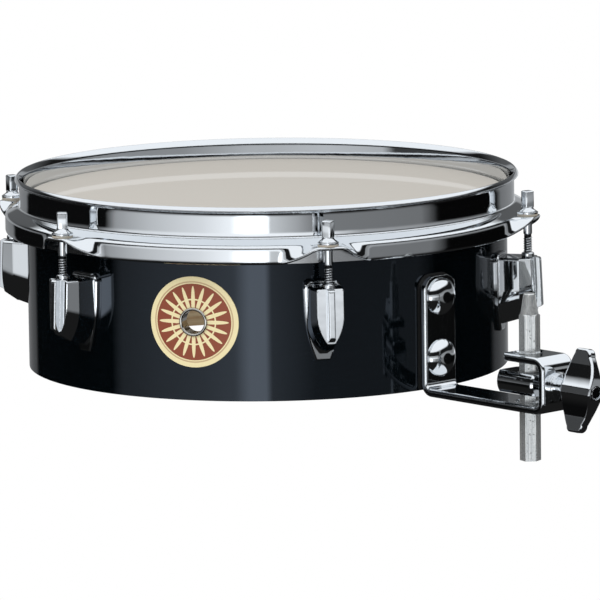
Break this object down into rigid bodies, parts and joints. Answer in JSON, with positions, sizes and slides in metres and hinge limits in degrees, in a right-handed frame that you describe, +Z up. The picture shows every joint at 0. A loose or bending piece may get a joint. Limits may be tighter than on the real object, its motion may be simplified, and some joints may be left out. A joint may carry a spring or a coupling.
{
  "type": "snare drum",
  "caption": "Shallow single-headed snare drum with a chrome hoop, key-tuned rods, an inner throw-off snare unit and a clamp bracket on a hexagonal post.",
  "frame": {"origin": "centre of the hexagonal post's lower end, where a stand holds it", "axes": "+Z up along the post and the drum's axis, +X from the drum out along the clamp arm towards the wing nut"},
  "size_m": [0.4518, 0.356, 0.154],
  "materials": {
    "badge_print": "printed badge sheet",
    "black_rubber": "thin rubber",
    "bright_aluminium": "extruded channel",
    "chrome_plate": "polished chrome",
    "coated_film": "glossy cream film",
    "lacquered_ply": "satin black wrap over maple",
    "natural_ply": "bare ply inside and at the bottom edge",
    "nylon": "moulded nylon",
    "saddle_plastic": "moulded block",
    "zinc_steel": "bright zinc"
  },
  "bodies": {
    "post": {"mounting_post": "zinc_steel"},
    "drum": {"shell": "natural_ply", "shell_wrap": "lacquered_ply", "badge_plate": "badge_print", "vent_grommet": "chrome_plate", "batter_head": "coated_film", "lug_1": "chrome_plate", "lug_2": "chrome_plate", "lug_3": "chrome_plate", "lug_4": "chrome_plate", "lug_5": "chrome_plate", "lug_6": "chrome_plate", "lug_swivel_nuts": "chrome_plate", "lug_screws": "zinc_steel", "lug_screw_washers": "zinc_steel", "bracket_plate": "chrome_plate", "bracket_gasket": "black_rubber", "bracket_bolts": "chrome_plate", "bracket_nuts": "zinc_steel", "inner_back_plate": "zinc_steel", "clamp_washers": "chrome_plate", "bridge_pivot_pin": "zinc_steel", "throw_off_bush": "zinc_steel", "throw_off_housing": "chrome_plate", "housing_screws": "zinc_steel", "housing_screw_washers": "zinc_steel"},
    "hoop": {"batter_hoop": "chrome_plate", "flesh_hoop": "bright_aluminium", "nylon_washers": "nylon", "steel_washers": "chrome_plate"},
    "rod_1": {"tension_rod_1": "chrome_plate"},
    "rod_2": {"tension_rod_2": "chrome_plate"},
    "rod_3": {"tension_rod_3": "chrome_plate"},
    "rod_4": {"tension_rod_4": "chrome_plate"},
    "rod_5": {"tension_rod_5": "chrome_plate"},
    "rod_6": {"tension_rod_6": "chrome_plate"},
    "eyebolt": {"eyebolt": "chrome_plate"},
    "wing_nut": {"wing_nut": "chrome_plate"},
    "bridge": {"snare_bridge": "bright_aluminium", "fixed_saddle": "saddle_plastic", "fixed_end_plate": "zinc_steel", "snare_wires": "zinc_steel"},
    "saddle": {"moving_saddle": "saddle_plastic", "moving_end_plate": "zinc_steel"},
    "snare_screw": {"snare_tension_screw": "zinc_steel"},
    "throw_off": {"throw_off_lever": "chrome_plate", "cam_shaft": "zinc_steel", "lever_screw": "chrome_plate"}
  },
  "joints": [
    {"name": "height_slide", "type": "slide", "parent": "post", "child": "drum", "axis": [0, 0, 1], "range_m": [-0.028, 0.02]},
    {"name": "hoop_tuning", "type": "slide", "parent": "drum", "child": "hoop", "axis": [0, 0, 1], "range_m": [-0.001, 0.002]},
    {"name": "rod_1_turn", "type": "hinge", "parent": "hoop", "child": "rod_1", "pos_m": [-0.2317, -0.1686, 0.1311], "axis": [0, 0, 1], "range_deg": [-342, 682]},
    {"name": "rod_2_turn", "type": "hinge", "parent": "hoop", "child": "rod_2", "pos_m": [-0.08569, -0.0843, 0.1311], "axis": [0, 0, 1], "range_deg": [-342, 682]},
    {"name": "rod_3_turn", "type": "hinge", "parent": "hoop", "child": "rod_3", "pos_m": [-0.08569, 0.0843, 0.1311], "axis": [0, 0, 1], "range_deg": [-342, 682]},
    {"name": "rod_4_turn", "type": "hinge", "parent": "hoop", "child": "rod_4", "pos_m": [-0.2317, 0.1686, 0.1311], "axis": [0, 0, 1], "range_deg": [-342, 682]},
    {"name": "rod_5_turn", "type": "hinge", "parent": "hoop", "child": "rod_5", "pos_m": [-0.37771, 0.0843, 0.1311], "axis": [0, 0, 1], "range_deg": [-342, 682]},
    {"name": "rod_6_turn", "type": "hinge", "parent": "hoop", "child": "rod_6", "pos_m": [-0.37771, -0.0843, 0.1311], "axis": [0, 0, 1], "range_deg": [-342, 682]},
    {"name": "wing_nut_turn", "type": "hinge", "parent": "drum", "child": "wing_nut", "pos_m": [0.0283, 0, 0.0475], "axis": [1, 0, 0], "range_deg": [-1, 361]},
    {"name": "eyebolt_draw", "type": "slide", "parent": "drum", "child": "eyebolt", "axis": [1, 0, 0], "range_m": [-0.00125, 0]},
    {"name": "throw_off_turn", "type": "hinge", "parent": "drum", "child": "throw_off", "pos_m": [-0.3887, 0, 0.1063], "axis": [1, 0, 0], "range_deg": [0, 90]},
    {"name": "bridge_pivot", "type": "hinge", "parent": "drum", "child": "bridge", "pos_m": [-0.1047, 0, 0.1243], "axis": [0, 1, 0], "range_deg": [-0.67, 0]},
    {"name": "snare_screw_turn", "type": "hinge", "parent": "bridge", "child": "snare_screw", "pos_m": [-0.1127, 0, 0.13405], "axis": [1, 0, 0], "range_deg": [-721, 1]},
    {"name": "saddle_draw", "type": "slide", "parent": "bridge", "child": "saddle", "axis": [1, 0, 0], "range_m": [0, 0.0014]}
  ],
  "couplings": [
    {"joint": "rod_1_turn", "follows": "hoop_tuning", "rad_per_m": 5936.9},
    {"joint": "rod_2_turn", "follows": "hoop_tuning", "rad_per_m": 5936.9},
    {"joint": "rod_3_turn", "follows": "hoop_tuning", "rad_per_m": 5936.9},
    {"joint": "rod_4_turn", "follows": "hoop_tuning", "rad_per_m": 5936.9},
    {"joint": "rod_5_turn", "follows": "hoop_tuning", "rad_per_m": 5936.9},
    {"joint": "rod_6_turn", "follows": "hoop_tuning", "rad_per_m": 5936.9},
    {"joint": "wing_nut_turn", "follows": "eyebolt_draw", "rad_per_m": -5026.5},
    {"joint": "bridge_pivot", "follows": "throw_off_turn", "ratio": -0.007333},
    {"joint": "snare_screw_turn", "follows": "saddle_draw", "rad_per_m": -8976}
  ]
}
